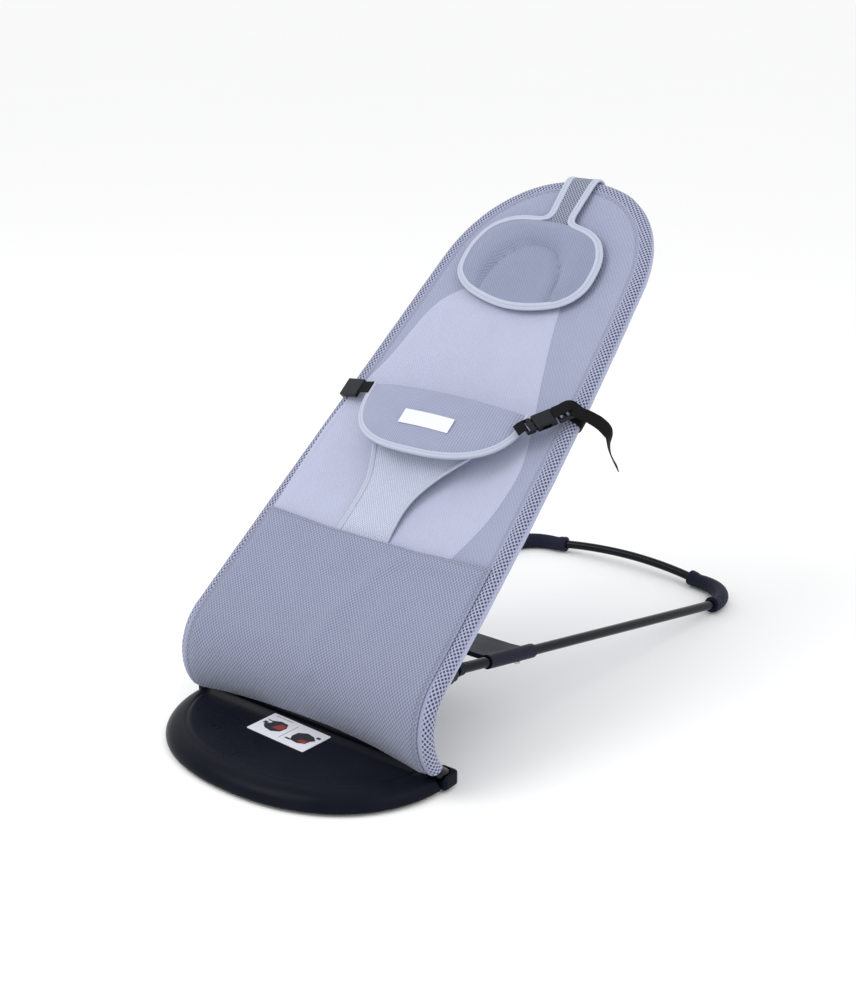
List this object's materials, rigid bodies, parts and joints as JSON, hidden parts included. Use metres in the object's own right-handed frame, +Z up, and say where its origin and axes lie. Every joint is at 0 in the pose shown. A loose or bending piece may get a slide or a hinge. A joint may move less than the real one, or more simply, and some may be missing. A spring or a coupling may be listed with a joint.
{
  "type": "bouncer seat",
  "caption": "Folding baby bouncer: mesh seat on a bent tube frame, D-shaped front plate, hinged rear base with drop-in stay, head pillow and belly harness.",
  "frame": {"origin": "on the floor, on the centre line, under the line where the seat cover meets the front plate, at the centre of the plate's rear pad", "axes": "+Y from the front plate to the head end, +X towards the side with the buckle, +Z up"},
  "size_m": [0.4142, 0.8797, 0.6079],
  "materials": {
    "black_paint": "gloss black powder coat",
    "black_plastic": "satin black",
    "slate_plastic": "fine matt, dark slate",
    "slate_rubber": "matt, dark slate",
    "steel": "zinc plated",
    "grey_mesh": "lavender grey air mesh",
    "light_mesh": "pale air mesh",
    "black_webbing": "woven black webbing",
    "white_label": "white film"
  },
  "bodies": {
    "seat_frame": {"front_plate": "black_plastic", "plate_clamp_bar": "black_plastic", "instruction_label": "white_label", "plate_pad_rear": "slate_rubber", "plate_pad_right": "slate_rubber", "plate_pad_left": "slate_rubber", "tube_socket_right": "black_plastic", "tube_socket_left": "black_plastic", "lower_seat_tube_right": "black_paint", "lower_seat_tube_left": "black_paint", "head_tube": "black_paint", "hinge_bracket_right": "slate_plastic", "hinge_bracket_left": "slate_plastic", "hinge_pin_right": "steel", "hinge_pin_left": "steel", "hinge_cap_right": "black_plastic", "hinge_cap_left": "black_plastic", "stay_clip_right": "slate_plastic", "stay_clip_left": "slate_plastic", "seat_cover": "grey_mesh", "foot_panel": "grey_mesh", "centre_panel": "light_mesh", "head_pillow": "grey_mesh", "pillow_strap": "light_mesh", "belly_pad": "grey_mesh", "care_label": "white_label", "crotch_strap": "light_mesh", "buckle_socket": "black_plastic", "ladder_lock": "black_plastic", "tube_loop_right": "black_webbing", "tube_loop_left": "black_webbing", "slider_left": "black_plastic", "slider_webbing": "black_webbing", "strap_tail": "black_webbing"},
    "base_frame": {"base_tube_right": "black_paint", "base_tube_left": "black_paint", "base_knuckle_right": "slate_plastic", "base_knuckle_left": "slate_plastic", "rear_crossbar": "black_paint", "corner_sleeve_right": "slate_rubber", "corner_sleeve_left": "slate_rubber", "crosspiece": "slate_plastic", "crosspiece_screw_right": "steel", "crosspiece_screw_left": "steel"},
    "support_stay": {"support_stay": "black_paint", "stay_foot_sleeve": "slate_rubber"},
    "buckle_tongue": {"buckle_tongue": "black_plastic", "tongue_webbing": "black_webbing"},
    "button_right": {"tube_button_right": "steel"},
    "button_left": {"tube_button_left": "steel"}
  },
  "joints": [
    {"name": "base_fold", "type": "hinge", "parent": "seat_frame", "child": "base_frame", "pos_m": [0, 0.032, 0.1262], "axis": [1, 0, 0], "range_deg": [0, 46]},
    {"name": "stay_swing", "type": "hinge", "parent": "seat_frame", "child": "support_stay", "pos_m": [0, 0.23913, 0.30655], "axis": [1, 0, 0], "range_deg": [0, 142]},
    {"name": "buckle_release", "type": "slide", "parent": "seat_frame", "child": "buckle_tongue", "axis": [-0.5642, -0.7643, -0.3123], "range_m": [0, 0.018]},
    {"name": "button_press_right", "type": "slide", "parent": "seat_frame", "child": "button_right", "axis": [0, -0.6421, 0.7666], "range_m": [0, 0.003], "stiffness_N_per_m": 400},
    {"name": "button_press_left", "type": "slide", "parent": "seat_frame", "child": "button_left", "axis": [0, -0.6421, 0.7666], "range_m": [0, 0.003], "stiffness_N_per_m": 400}
  ],
  "couplings": [
    {"joint": "stay_swing", "follows": "base_fold", "ratio": 3.05}
  ]
}
